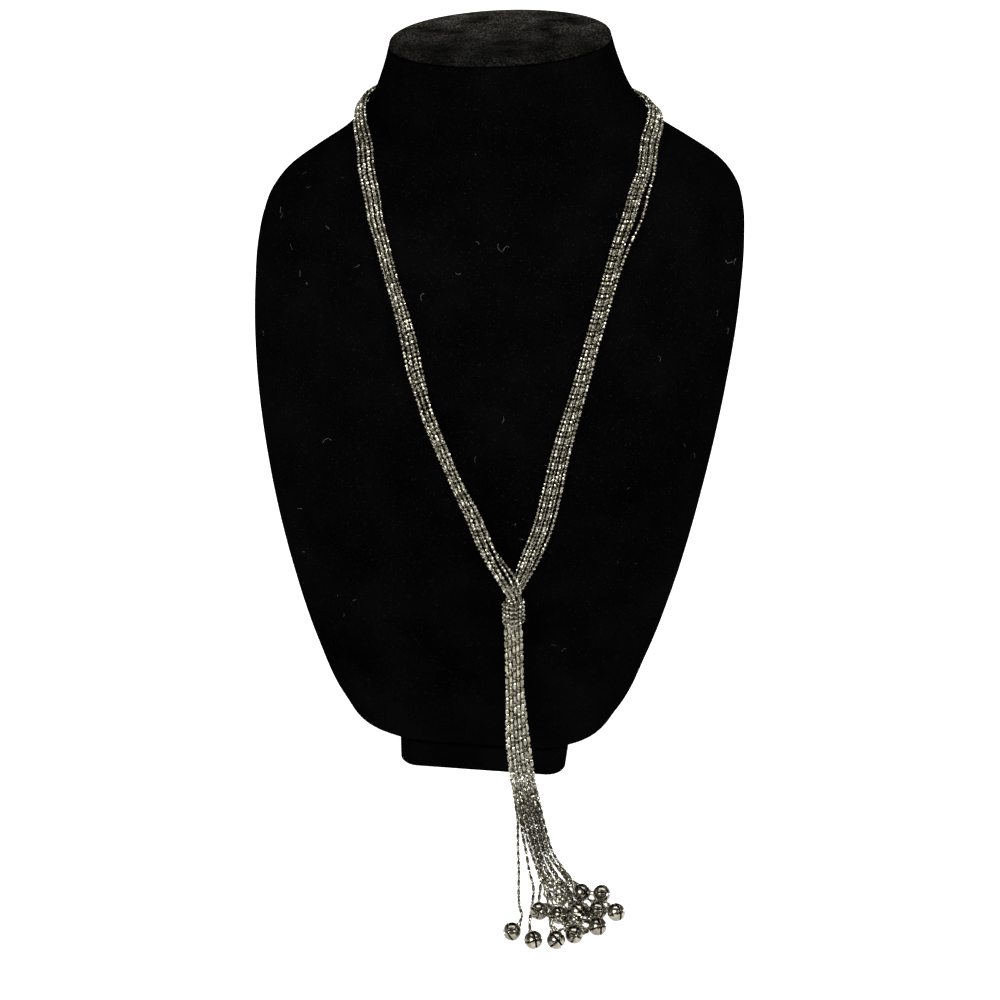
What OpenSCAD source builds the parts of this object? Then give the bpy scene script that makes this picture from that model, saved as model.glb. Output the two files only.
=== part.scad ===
// Lariat necklace of six bar-and-ball chains, tied in a wrapped knot at the front,
// on the velvet neck bust that holds it. Each of the twelve tails ends in a jingle bell.
// Millimetres. +Z is up, the wearer's front faces -Y, and the origin is the middle of
// the foot's underside, on the table.

/* [Bust] */
// Height of the bust with its foot
bust_h = 330; // [280:1:380]
// Widest width of the chest
bust_w = 210; // [180:1:240]
// Depth from the chest's front to the nape
bust_d = 130; // [110:1:150]
// Sideways offset of the neck over the foot, as a share of the height
bust_lean = 0.01; // [0:0.005:0.03]
// Slope of the shoulders across the bust, as a share of the width
shoulder_slope = 0.05; // [0:0.01:0.08]

/* [Foot and neck plate] */
// Width of the foot
foot_w = 78; // [60:1:100]
// Depth of the foot
foot_d = 76; // [60:1:90]
// Height of the foot
foot_h = 13; // [8:1:20]
// Corner radius of the foot
foot_corner = 9; // [4:1:16]
// Thickness of the plate on the neck
plate_t = 4; // [3:0.5:8]
// Seam between the form and its foot or plate
seam = 0.2; // [0.1:0.1:0.6]

/* [Chain] */
// Outside diameter of a chain
chain_d = 1.6; // [1.2:0.1:2]
// Clear space between chains that lie side by side
chain_gap = 0.1; // [0.1:0.05:0.3]
// Clear space between a chain and the velvet
velvet_gap = 0.4; // [0.2:0.05:0.5]
// Clear space between a chain's end and the piece that holds it
end_gap = 0.1; // [0.05:0.05:0.3]

/* [Knot] */
// Turns of chain round the knot
knot_turns = 5; // [3:1:7]
// Rise from one turn to the next
turn_rise = 2.35; // [2:0.05:3]
// Diameter of the bundle inside the turns
knot_core_d = 7.8; // [6:0.1:8]
// Height of the knot's middle, as a share of the form's height
knot_share = 0.281; // [0.24:0.001:0.34]

/* [Tails] */
// Radius of the bend where the tails meet the table
landing_r = 11; // [8:0.5:14]

/* [Bells] */
// Outside diameter of a bell
bell_d = 7.6; // [6.4:0.1:7.6]
// Wall of a bell
bell_wall = 0.4; // [0.25:0.05:0.5]
// Width of the slots between the petals
slot_w = 0.9; // [0.4:0.1:1.2]
// Diameter of the hole at the end of each slot
slot_hole_d = 1.5; // [0.8:0.1:2]
// Diameter of the loose ball
clapper_d = 2.4; // [1.8:0.1:2.8]
// Middle radius of a bell's eye
eye_r = 0.85; // [0.8:0.05:0.9]
// Middle radius of a cap's ring
ring_r = 1.2; // [1:0.05:1.3]
// Wire diameter of the eye and of the ring
ring_wire = 0.56; // [0.4:0.02:0.6]
// Diameter of the crimp cup
cup_d = 2.3; // [2.2:0.1:2.6]
// Length of the crimp cup
cup_l = 2.2; // [1.6:0.1:3]

/* [Hidden] */
$fn = 48;
COUNTS = [for (i = [1:12]) str(i)];

velvet = [0.07, 0.07, 0.08];
silver = [0.72, 0.71, 0.66];
nickel = [0.8, 0.8, 0.78];

// Sections of the form, from its foot to its top. Columns: height share, half width share of
// bust_w / 2, then the places of the widest line, the front and the back along Y as shares of
// bust_d, the squareness of the outline, and the sideways shift as a share of bust_w / 2.
SECTIONS = [
    [0.000, 0.421, -0.06, -0.28, 0.28, 5.0, -0.004],
    [0.019, 0.516, -0.085, -0.325, 0.29, 4.2, -0.004],
    [0.064, 0.620, -0.11, -0.375, 0.30, 3.2, -0.004],
    [0.156, 0.728, -0.145, -0.425, 0.285, 2.6, -0.004],
    [0.277, 0.828, -0.17, -0.442, 0.26, 2.2, -0.003],
    [0.421, 0.918, -0.145, -0.412, 0.26, 2.1, -0.003],
    [0.565, 0.981, -0.075, -0.346, 0.31, 2.1, 0.002],
    [0.677, 1.003, 0.00, -0.277, 0.385, 2.1, 0.012],
    [0.735, 1.003, 0.06, -0.231, 0.43, 2.1, 0.014],
    [0.773, 0.989, 0.11, -0.200, 0.455, 2.1, 0.015],
    [0.802, 0.957, 0.145, -0.177, 0.47, 2.1, 0.014],
    [0.828, 0.886, 0.185, -0.150, 0.49, 2.0, 0.010],
    [0.850, 0.775, 0.215, -0.131, 0.515, 2.0, 0.003],
    [0.872, 0.660, 0.23, -0.115, 0.54, 2.0, -0.002],
    [0.910, 0.549, 0.24, -0.104, 0.56, 2.0, -0.006],
    [0.960, 0.477, 0.23, -0.100, 0.565, 2.0, -0.009],
    [1.000, 0.441, 0.223, -0.100, 0.560, 2.0, -0.012]
];
// Height shares of the form's rings, closer together round the shoulders and the neck's root
LEVELS = concat(
    [0, 0.008, 0.019, 0.036, 0.062, 0.095],
    [for (i = [0:15]) 0.13 + 0.04 * i],
    [for (i = [0:14]) 0.757 + 0.0125 * i],
    [0.95, 0.968, 0.985]
);
AROUND = 36;

// Route of the band of six chains: from the knot up the wearer's right side, behind the neck and
// down to the knot again. Columns: angle round the form (0 at +X, -90 at the front), share of the
// way from the knot to the form's top, pitch of the lower layer in chain pitches, shift of the
// upper layer in its pitches, and share of the knot's lift.
ROUTE = [
    [-79.4, 0.000, 1.14, -1.0, 1.00],
    [-80.2, 0.012, 1.14, -1.0, 1.00],
    [-82.2, 0.038, 1.20, -1.0, 0.90],
    [-84.7, 0.069, 1.30, -1.0, 0.66],
    [-87.2, 0.106, 1.40, -1.0, 0.32],
    [-90.2, 0.165, 1.25, -1.0, 0.08],
    [-94.0, 0.224, 1.00, -1.0, 0.00],
    [-100.4, 0.338, 1.20, -1.0, 0.00],
    [-102.4, 0.385, 1.25, -0.5, 0.00],
    [-104.3, 0.432, 1.30, 0.0, 0.00],
    [-106.5, 0.497, 1.25, 0.0, 0.00],
    [-109.2, 0.560, 1.00, 0.0, 0.00],
    [-112.0, 0.619, 1.00, 0.0, 0.00],
    [-115.2, 0.681, 1.12, 0.0, 0.00],
    [-119.6, 0.734, 1.30, 0.0, 0.00],
    [-129.6, 0.784, 1.40, 0.0, 0.00],
    [-145.0, 0.827, 1.40, 0.0, 0.00],
    [-168.0, 0.861, 1.30, 0.0, 0.00],
    [-191.0, 0.868, 1.25, 0.0, 0.00],
    [-220.0, 0.868, 1.25, 0.0, 0.00],
    [-245.0, 0.866, 1.25, 0.0, 0.00],
    [-270.0, 0.862, 1.25, 0.0, 0.00],
    [-295.0, 0.857, 1.25, 0.0, 0.00],
    [-320.0, 0.849, 1.25, 0.0, 0.00],
    [-345.0, 0.840, 1.30, 0.0, 0.00],
    [-367.8, 0.829, 1.50, 0.0, 0.00],
    [-388.0, 0.808, 1.58, 0.0, 0.00],
    [-402.9, 0.773, 1.45, 0.0, 0.00],
    [-413.8, 0.730, 1.35, 0.0, 0.00],
    [-419.2, 0.672, 1.30, 0.0, 0.00],
    [-422.3, 0.601, 1.25, 0.0, 0.00],
    [-425.1, 0.511, 1.20, 0.0, 0.00],
    [-427.2, 0.418, 1.25, 0.0, 0.00],
    [-429.8, 0.310, 1.50, 0.0, 0.00],
    [-431.5, 0.210, 1.65, 0.0, 0.00],
    [-433.2, 0.138, 1.60, 0.0, 0.05],
    [-435.7, 0.078, 1.55, 0.0, 0.25],
    [-437.6, 0.040, 1.30, 0.0, 0.70],
    [-439.3, 0.012, 1.14, 0.0, 1.00],
    [-440.0, 0.000, 1.14, 0.0, 1.00]
];
// Rings from one point of the route to the next, fewer where the band runs straight
STEPS = 2;
// Chains that hang a little away from the band. Columns: chain, middle of the stretch along the
// route, half its length, both as shares of the route's points, and the distance in chain pitches.
LOOSE = [
    [5, 0.725, 0.045, 1.25],
    [4, 0.135, 0.05, 0.4],
    [5, 0.90, 0.05, 0.35],
    [0, 0.05, 0.06, -2.2]
];

// Middle of the tails on their way down and over the table. Columns: share of the drop, or 1 plus
// the millimetres past the landing, then the sideways offset from the knot and the pitch of the
// lower layer, both in millimetres.
DRIFT = [
    [0, 0, 1.70],
    [0.2, 0.6, 1.70],
    [0.5, 1.6, 1.70],
    [0.75, 3.0, 1.85],
    [1, 5.4, 2.00],
    [1.5, 9.6, 2.10]
];

// The twelve tails from the wearer's right to left. Columns: layer in the bundle (0 at the back),
// place across the table in pitches, place across the bundle under the knot in chain pitches,
// points past the landing as [distance, offset from the knot], bell's place as [offset, distance],
// heading of the cap, turn of the bell, and rise of a bell that lies on other tails.
TAILS = [
    [1, -3.0, -1.5, [[15, 5.2], [25, 6.4], [39, 8.3], [54, 9.9], [63, 11.2]], [10.2, 83.0], -5, -22, 0],
    [2, -2.5, -2.0, [[15, 7.4], [25, 9.9], [39, 12.9], [50, 15.8], [59, 16.4], [67, 16.4]],
        [19.6, 87.2], 9, 12, 0],
    [0, -2.0, -1.0, [[15, 9.2], [25, 12.2], [34, 15.0], [44, 18.1], [50, 18.8]], [20.1, 68.6], 3, 8, 0],
    [2, -1.5, -1.0, [[15, 10.3], [25, 13.2], [34, 16.0], [44, 18.9], [57, 22.4], [68, 24.5]],
        [28.8, 86.2], 12, 10, 0],
    [1, -1.0, -0.5, [[15, 11.4], [25, 14.2], [34, 17.0], [44, 20.3]], [28.6, 70.2], 17, 5, 0],
    [2, -0.5, 0.0, [[15, 12.5], [25, 15.2], [34, 18.0], [44, 22.2], [57, 28.0], [68, 32.0]],
        [36.0, 81.8], 17, -6, 0],
    [0, 0.0, 0.0, [[15, 13.5], [25, 16.2], [34, 19.2], [44, 23.9]], [36.2, 67.0], 25, 4, 0],
    [2, 0.5, 1.0, [[15, 14.5], [25, 17.2], [34, 20.6], [44, 25.5], [54, 31.5], [59, 35.2]],
        [45.2, 75.6], 30, -4, 0],
    [1, 1.0, 0.5, [[15, 15.5], [25, 18.2], [34, 21.8], [44, 27.2], [50, 31.2]], [44.5, 65.2], 42, 6, 0],
    [2, 1.5, 2.0, [[15, 16.5], [25, 19.3], [34, 23.3]], [36.9, 56.6], 24, 12, 1.92],
    [0, 1.9, 1.0, [[15, 17.5], [25, 20.2], [34, 24.4], [44, 30.5], [52, 37.2]], [52.3, 65.4], 55, -20, 0],
    [1, 2.4, 1.5, [[15, 18.5], [25, 21.4], [31.5, 24.4], [38, 28.5]], [45.3, 54.0], 52, 1, 0]
];
ROWS_DOWN = 7;
ROWS_BEND = 5;
ROWS_FLAT = 13;

pitch = chain_d + chain_gap;
layer_rise = pitch * sqrt(3) / 2;
SIDES = 8;

form_h = bust_h - foot_h;
plate_share = 1 - (plate_t + seam) / form_h;

// Smooth curve through a table, whose first column rises
function row_at(table, t, i = 0) =
    i >= len(table) - 2 || t < table[i + 1][0] ? i : row_at(table, t, i + 1);
function grade(table, c, i) =
    (table[i + 1][c] - table[i][c]) / (table[i + 1][0] - table[i][0]);
function slope_at(table, c, i) =
    i <= 0 ? grade(table, c, 0)
    : i >= len(table) - 1 ? grade(table, c, len(table) - 2)
    : let(before = table[i][0] - table[i - 1][0], after = table[i + 1][0] - table[i][0])
      (grade(table, c, i - 1) * after + grade(table, c, i) * before) / (before + after);
function bend(a, b, slope_a, slope_b, span, t) =
    a * (1 + 2 * t) * (1 - t) * (1 - t) + b * t * t * (3 - 2 * t)
    + span * slope_a * t * (1 - t) * (1 - t) - span * slope_b * t * t * (1 - t);
function smooth_at(table, c, x) =
    let(i = row_at(table, x), span = table[i + 1][0] - table[i][0],
        t = min(1, max(0, (x - table[i][0]) / span)))
    bend(table[i][c], table[i + 1][c], slope_at(table, c, i), slope_at(table, c, i + 1), span, t);
function ease(t) = let(u = min(1, max(0, t))) u * u * (3 - 2 * u);
function mix(a, b, t) = a + (b - a) * t;
function unit(v) = v / norm(v);

// Skin of the form at an angle and a height share
function power(v, e) = sign(v) * pow(abs(v), e);
function skin(angle, share) =
    let(w = smooth_at(SECTIONS, 1, share) * bust_w / 2,
        widest = smooth_at(SECTIONS, 2, share) * bust_d,
        front = smooth_at(SECTIONS, 3, share) * bust_d,
        back = smooth_at(SECTIONS, 4, share) * bust_d,
        e = 2 / smooth_at(SECTIONS, 5, share),
        reach = sin(angle) > 0 ? back - widest : widest - front,
        x = smooth_at(SECTIONS, 6, share) * bust_w / 2 + w * power(cos(angle), e),
        z = foot_h + seam + share * (form_h - seam))
    [x + bust_lean * (z - bust_h / 2), widest + reach * power(sin(angle), e),
     z + shoulder_slope * ease((share - 0.6) / 0.2) * x];
SKIN_STEP = 0.3;
SHARE_STEP = 0.002;
function skin_across(angle, share) =
    (skin(angle + SKIN_STEP, share) - skin(angle - SKIN_STEP, share)) / (2 * SKIN_STEP);
function skin_up(angle, share) =
    (skin(angle, share + SHARE_STEP) - skin(angle, share - SHARE_STEP)) / (2 * SHARE_STEP);
function skin_out(angle, share) = unit(cross(skin_across(angle, share), skin_up(angle, share)));

// Height of a chain over another one whose middle is a distance to the side, in pitches:
// round the lower chain, then straight down its side
REST = 0.8;
function over(gap) =
    gap < REST ? sqrt(1 - gap * gap) : max(0, (1 - REST * gap) / sqrt(1 - REST * REST));

// Height share of a point of the route. The chains come to the knot at a slant, so that the rims of
// their ends reach below their middles.
SLANT_DIP = 0.5;
knot_end_share = knot_share + (knot_turns * turn_rise / 2 + end_gap + SLANT_DIP) / form_h;
function on_form(way) = mix(knot_end_share, 1, way);

// Closed solid through rings of equally many points
module loft(rings) {
    n = len(rings[0]);
    last = len(rings) - 1;
    points = [for (r = rings) for (p = r) p];
    sides = [for (k = [0:last - 1], j = [0:n - 1])
        [k * n + j, (k + 1) * n + j, (k + 1) * n + (j + 1) % n, k * n + (j + 1) % n]];
    ends = [[for (j = [0:n - 1]) j], [for (j = [0:n - 1]) last * n + n - 1 - j]];
    polyhedron(points = points, faces = concat(sides, ends), convexity = 6);
}

// Tube round a list of points, each with its upright direction
module tube(middles, uprights) {
    last = len(middles) - 1;
    loft([for (k = [0:last])
        let(along = unit(middles[min(k + 1, last)] - middles[max(k - 1, 0)]),
            side = unit(cross(along, uprights[k])), up = cross(side, along))
        [for (j = [0:SIDES - 1])
            let(a = -360 * j / SIDES)
            middles[k] + chain_d / 2 * (side * cos(a) + up * sin(a))]]);
}

// Band of six chains. The even ones lie on the velvet, the odd ones in the grooves between them,
// a little higher than on a plain because the neck's root is hollow.
CROWD = 0.92;
function lateral(k, row, place) =
    let(shift = k % 2 == 1 ? 2 * row[3] : 0,
        loose = [for (l = LOOSE) l[0] == k ? l[3] * (1 - ease(abs(place - l[1]) / l[2])) : 0])
    pitch * ((k - 2.5 + shift - row[3]) * row[2] / 2 + loose * [for (l = LOOSE) 1]);
function layer_height(k, row, place) =
    k % 2 == 0 ? 0
    : pitch * max([for (j = [0, 2, 4])
        let(gap = abs(lateral(k, row, place) - lateral(j, row, place)) / pitch) over(CROWD * gap)]);
// Lift at the knot: the band of the wearer's right lies in front of the other one there
FRONT_BAND = 0.55;
BACK_BAND = -1.6;
turn_r = knot_core_d / 2 + 0.3 * chain_d;
knot_out = turn_r + chain_d / 2 + velvet_gap;
base_out = chain_d / 2 + velvet_gap;
function lift(place) = knot_out + (place < 0.5 ? FRONT_BAND : BACK_BAND) * layer_rise - base_out;
function route_row(i, t) =
    [for (c = [0:4])
        let(v = bend(ROUTE[i][c], ROUTE[i + 1][c], route_slope(c, i), route_slope(c, i + 1), 1, t))
        c == 1 ? on_form(v) : v];
function route_slope(c, i) =
    let(a = max(0, i - 1), b = min(len(ROUTE) - 1, i + 1)) (ROUTE[b][c] - ROUTE[a][c]) / (b - a);
function spot(k, i, t) =
    let(row = route_row(i, t),
        ahead = route_row(i, min(1, t + 0.02)), behind = route_row(i, max(0, t - 0.02)),
        place = (i + t) / (len(ROUTE) - 1),
        across = skin_across(row[0], row[1]), up = skin_up(row[0], row[1]),
        out = skin_out(row[0], row[1]),
        direction = across * (ahead[0] - behind[0]) + up * (ahead[1] - behind[1]),
        level = unit(cross([0, 0, 1], out)) * (place < 0.5 ? -1 : 1),
        side = unit(mix(unit(cross(out, direction)), level, row[4])), a = lateral(k, row, place),
        angle = row[0] + a * (side * cross(up, out)) / (across * cross(up, out)),
        share = row[1] + a * (side * cross(out, across)) / (up * cross(out, across)),
        out_there = skin_out(angle, share))
    [skin(angle, share) + out_there * (base_out + row[4] * lift(place) + layer_height(k, row, place)),
     out_there];
module strand(k) {
    spots = concat([for (i = [0:len(ROUTE) - 2], s = [0:STEPS - 1]) spot(k, i, s / STEPS)],
        [spot(k, len(ROUTE) - 2, 1)]);
    color(silver) tube([for (s = spots) s[0]], [for (s = spots) s[1]]);
}

// Knot
KNOT_ANGLE = -79.6;
knot_at = skin(KNOT_ANGLE, knot_share) + skin_out(KNOT_ANGLE, knot_share) * knot_out;
knot_h = knot_turns * turn_rise;
// Mouth of the knot, out of which the tails come
mouth_w = 5 * pitch;
mouth_d = 2 * layer_rise + chain_d;
mouth_h = 1;
module knot() {
    color(silver) translate(knot_at) {
        cylinder(d = knot_core_d, h = knot_h, center = true);
        for (i = [0:knot_turns - 1])
            translate([0, 0, (i + 0.5) * turn_rise - knot_h / 2])
                rotate_extrude()
                    translate([turn_r, 0])
                        circle(d = chain_d, $fn = 24);
        translate([0, 0, (mouth_h - knot_h) / 2]) {
            cube([mouth_w - mouth_d, mouth_d, mouth_h], center = true);
            for (side = [-1, 1])
                translate([side * (mouth_w - mouth_d) / 2, 0, 0])
                    cylinder(d = mouth_d, h = mouth_h, center = true);
        }
    }
}

// Tails: how far down and along, which way is out from the bundle's back, and where each one lies
drop_top = knot_at[2] - knot_h / 2 - end_gap;
floor_out = chain_d / 2 + 0.03;
drop_l = drop_top - landing_r - floor_out;
drop_y = knot_at[1] + layer_rise;
land_y = drop_y - landing_r;
BEND_SPAN = 0.5;
FLAT_FACTOR = 0.88;
// Length over which a tail turns and rises to its cap, and its last straight bit
CAP_RUN = 6;
END_RUN = 1;
// Shares of the drop over which the bundle loosens, and the rise at which a chain is carried in full
LOOSEN = [0.15, 0.75];
CARRIED = 0.3;
function drift(c, s) = smooth_at(DRIFT, c, s);
// Sideways run of the tails in the bend
landing_lean = (drift(1, 1 + BEND_SPAN) - drift(1, 1)) / (landing_r * PI / 2);
function plan(i) =
    let(t = TAILS[i], start = drift(1, 1 + BEND_SPAN) + t[1] * drift(2, 1 + BEND_SPAN), end = tail_end(i),
        near = end - heading(t[5]) * CAP_RUN)
    concat([[-landing_r, start - landing_r * landing_lean], [0, start]], t[3],
        [[near[1], near[0]], [end[1], end[0]]]);
function flat_x(i, d) = smooth_at(plan(i), 1, d);
function bundle_x(i, s) =
    let(t = TAILS[i], loose = ease((s - LOOSEN[0]) / (LOOSEN[1] - LOOSEN[0])))
    drift(1, s) + mix(t[2] * pitch, t[1] * drift(2, s), loose);
function tail_x(i, s) = s <= 1 + BEND_SPAN ? bundle_x(i, s) : flat_x(i, s - 1 - BEND_SPAN);

// Height of a tail over the ones behind or below it
function shelf(i, j, s) =
    let(flat = s > 1 + BEND_SPAN,
        gap = abs(tail_x(i, s) - tail_x(j, s)) * (flat ? FLAT_FACTOR : 1) / pitch,
        rise = flat && s - 1 - BEND_SPAN > tail_end(j)[1] ? 0 : over(gap))
    rise <= 0 ? 0 : pitch * rise + tail_height(j, s) * min(1, rise / CARRIED);
function tail_height(i, s) =
    let(lower = [for (j = [0:len(TAILS) - 1]) if (TAILS[j][0] < TAILS[i][0]) shelf(i, j, s)])
    len(lower) > 0 ? max(lower) : 0;
// A tail's middle and its upright direction at a station
function tail_spot(i, s) =
    let(turned = 90 * min(1, max(0, (s - 1) / BEND_SPAN)), past = max(0, s - 1 - BEND_SPAN),
        out = [0, -cos(turned), sin(turned)],
        to_cap = past > 0 ? ease(1 - (tail_end(i)[1] - past) / CAP_RUN) : 0,
        height = mix(tail_height(i, s), TAILS[i][7] + cup_axis_z - floor_out, to_cap),
        guide = [knot_at[0] + tail_x(i, s),
            s < 1 ? drop_y : land_y + landing_r * cos(turned) - past,
            s < 1 ? mix(drop_top, landing_r + floor_out, s) : floor_out + landing_r * (1 - sin(turned))])
    [guide + out * height, out];
module tail(i) {
    past = tail_end(i)[1];
    stations = concat([for (k = [0:ROWS_DOWN - 1]) k / ROWS_DOWN],
        [for (k = [0:ROWS_BEND - 1]) 1 + BEND_SPAN * k / ROWS_BEND],
        [for (k = [0:ROWS_FLAT - 1]) 1 + BEND_SPAN + (past - END_RUN) * k / (ROWS_FLAT - 1)],
        [1 + BEND_SPAN + past]);
    spots = [for (s = stations) tail_spot(i, s)];
    color(silver) tube([for (s = spots) s[0]], [for (s = spots) s[1]]);
}

// Link of a cap's ring and a bell's eye. Offsets are [sideways from the knot, past the landing].
link_gap = 0.12;
bell_r = bell_d / 2;
bell_z = bell_r + 0.02;
cup_axis_z = cup_d / 2 + 0.02;
eye_reach = bell_r + eye_r;
eye_dip = asin((bell_z - cup_axis_z) / eye_reach);
function heading(a) = [sin(a), cos(a)];
function world(offset, z) = [knot_at[0] + offset[0], land_y - offset[1], z];
function ring_at(i) =
    let(t = TAILS[i])
    t[4] - heading(t[5] + t[6]) * eye_reach * cos(eye_dip) - heading(t[5]) * (ring_r + link_gap);
function cup_at(i) = ring_at(i) - heading(TAILS[i][5]) * (ring_r + cup_l);
function tail_end(i) = cup_at(i) - heading(TAILS[i][5]) * end_gap;

module wire_ring(r) {
    rotate_extrude()
        translate([r, 0])
            circle(d = ring_wire, $fn = 24);
}
module end_cap(i) {
    lip = 0.5;
    color(nickel)
        translate(world(cup_at(i), TAILS[i][7] + cup_axis_z))
            rotate([0, 0, TAILS[i][5] - 90]) {
                rotate([0, 90, 0]) {
                    cylinder(d = cup_d, h = lip);
                    cylinder(d = cup_d - 0.3, h = cup_l - 0.4);
                    translate([0, 0, cup_l - 0.4])
                        cylinder(d1 = cup_d - 0.3, d2 = cup_d - 1.1, h = 0.4, $fn = 48);
                }
                translate([cup_l + ring_r, 0, 0]) wire_ring(ring_r);
            }
}
module bell(i) {
    t = TAILS[i];
    far = 2 * bell_r;
    slot_end = 0.1 * bell_r;
    color(nickel)
        translate(world(t[4], t[7] + bell_z))
            rotate([0, eye_dip, t[5] + t[6] + 90]) {
                rotate([31 * i + 8, 0, 0])
                    difference() {
                        rotate([0, 90, 0]) sphere(d = bell_d);
                        rotate([0, 90, 0]) sphere(d = bell_d - 2 * bell_wall);
                        for (turn = [45, 135])
                            rotate([turn, 0, 0]) {
                                translate([slot_end - far, -slot_w / 2, -far])
                                    cube([far, slot_w, 2 * far]);
                                translate([slot_end, 0, 0])
                                    cylinder(d = slot_hole_d, h = 2 * far, center = true);
                            }
                    }
                translate([eye_reach, 0, 0]) rotate([90, 0, 0]) wire_ring(eye_r);
            }
}
module clapper(i) {
    low = bell_r - bell_wall - clapper_d / 2 - link_gap;
    color(nickel)
        translate(world(TAILS[i][4], TAILS[i][7] + bell_z - low))
            sphere(d = clapper_d);
}

// Bust
function ring(share, inset) =
    [for (j = [0:AROUND - 1])
        let(p = skin(360 * j / AROUND, share), middle = (skin(90, share) + skin(-90, share)) / 2,
            away = p - middle)
        p - inset * unit(away)];
module bust() {
    color(velvet)
        loft([for (level = LEVELS) ring(level * plate_share, level == 0 ? 1 : 0),
            ring(plate_share, 1.2)]);
}
module neck_plate() {
    foot_share = plate_share + seam / form_h;
    rows = [[0, 1.4], [0.15, 0.3], [0.4, 0], [0.75, 0.3], [0.92, 1.2], [1, 3]];
    color(velvet)
        loft([for (r = rows) ring(mix(foot_share, 1, r[0]), r[1])]);
}
module foot() {
    color(velvet) {
        translate([-foot_w / 2, foot_corner - foot_d / 2, 0])
            cube([foot_w, foot_d - 2 * foot_corner, foot_h]);
        translate([foot_corner - foot_w / 2, -foot_d / 2, 0])
            cube([foot_w - 2 * foot_corner, foot_d, foot_h]);
        for (x = [-1, 1], y = [-1, 1])
            translate([x * (foot_w / 2 - foot_corner), y * (foot_d / 2 - foot_corner), 0])
                cylinder(r = foot_corner, h = foot_h);
    }
}

bust();
foot();
neck_plate();
knot();
for (i = [0:5])
    strand(i);
for (i = [0:len(TAILS) - 1]) {
    tail(i);
    end_cap(i);
    bell(i);
    clapper(i);
}
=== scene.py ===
"""Looks of a lariat necklace on its velvet neck bust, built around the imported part.

Lengths in the tables are millimetres, as in the part's source. Meshes are made in metres.
"""

import math
from collections import namedtuple

import bpy
import numpy as np
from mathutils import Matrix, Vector


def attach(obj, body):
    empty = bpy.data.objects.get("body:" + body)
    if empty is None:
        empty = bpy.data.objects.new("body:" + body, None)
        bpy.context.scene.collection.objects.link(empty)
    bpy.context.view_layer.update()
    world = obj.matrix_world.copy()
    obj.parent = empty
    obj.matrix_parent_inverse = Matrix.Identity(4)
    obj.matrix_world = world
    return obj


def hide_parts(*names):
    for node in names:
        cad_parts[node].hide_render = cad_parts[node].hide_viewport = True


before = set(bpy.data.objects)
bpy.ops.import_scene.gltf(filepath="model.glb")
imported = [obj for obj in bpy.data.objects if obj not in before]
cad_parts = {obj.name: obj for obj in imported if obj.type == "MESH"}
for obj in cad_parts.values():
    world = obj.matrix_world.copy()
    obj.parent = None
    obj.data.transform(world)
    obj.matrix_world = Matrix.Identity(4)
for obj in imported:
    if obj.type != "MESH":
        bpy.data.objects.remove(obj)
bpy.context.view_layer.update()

MM = 0.001
chance = np.random.default_rng(12)


# Sizes of the part, named as in its source

BUST_H, BUST_W, BUST_D = 330, 210, 130
BUST_LEAN, SHOULDER_SLOPE = 0.01, 0.05
FOOT_W, FOOT_D, FOOT_H, FOOT_CORNER = 78, 76, 13, 9
PLATE_T, SEAM = 4, 0.2
CHAINS = 6
CHAIN_D, CHAIN_GAP, VELVET_GAP, END_GAP = 1.6, 0.1, 0.4, 0.1
KNOT_TURNS, TURN_RISE, KNOT_CORE_D, KNOT_SHARE, KNOT_ANGLE = 5, 2.35, 7.8, 0.281, -79.6
LANDING_R = 11
BELL_D, BELL_WALL, SLOT_W, SLOT_HOLE_D = 7.6, 0.4, 0.9, 1.5
EYE_R, RING_R, RING_WIRE = 0.85, 1.2, 0.56
CUP_D, CUP_L, LINK_GAP = 2.3, 2.2, 0.12

# The form: height share, half width share, widest line, front and back along Y, squareness of the
# outline, sideways shift
SECTIONS = np.array([
    [0.000, 0.421, -0.06, -0.28, 0.28, 5.0, -0.004],
    [0.019, 0.516, -0.085, -0.325, 0.29, 4.2, -0.004],
    [0.064, 0.620, -0.11, -0.375, 0.30, 3.2, -0.004],
    [0.156, 0.728, -0.145, -0.425, 0.285, 2.6, -0.004],
    [0.277, 0.828, -0.17, -0.442, 0.26, 2.2, -0.003],
    [0.421, 0.918, -0.145, -0.412, 0.26, 2.1, -0.003],
    [0.565, 0.981, -0.075, -0.346, 0.31, 2.1, 0.002],
    [0.677, 1.003, 0.00, -0.277, 0.385, 2.1, 0.012],
    [0.735, 1.003, 0.06, -0.231, 0.43, 2.1, 0.014],
    [0.773, 0.989, 0.11, -0.200, 0.455, 2.1, 0.015],
    [0.802, 0.957, 0.145, -0.177, 0.47, 2.1, 0.014],
    [0.828, 0.886, 0.185, -0.150, 0.49, 2.0, 0.010],
    [0.850, 0.775, 0.215, -0.131, 0.515, 2.0, 0.003],
    [0.872, 0.660, 0.23, -0.115, 0.54, 2.0, -0.002],
    [0.910, 0.549, 0.24, -0.104, 0.56, 2.0, -0.006],
    [0.960, 0.477, 0.23, -0.100, 0.565, 2.0, -0.009],
    [1.000, 0.441, 0.223, -0.100, 0.560, 2.0, -0.012],
])
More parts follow.
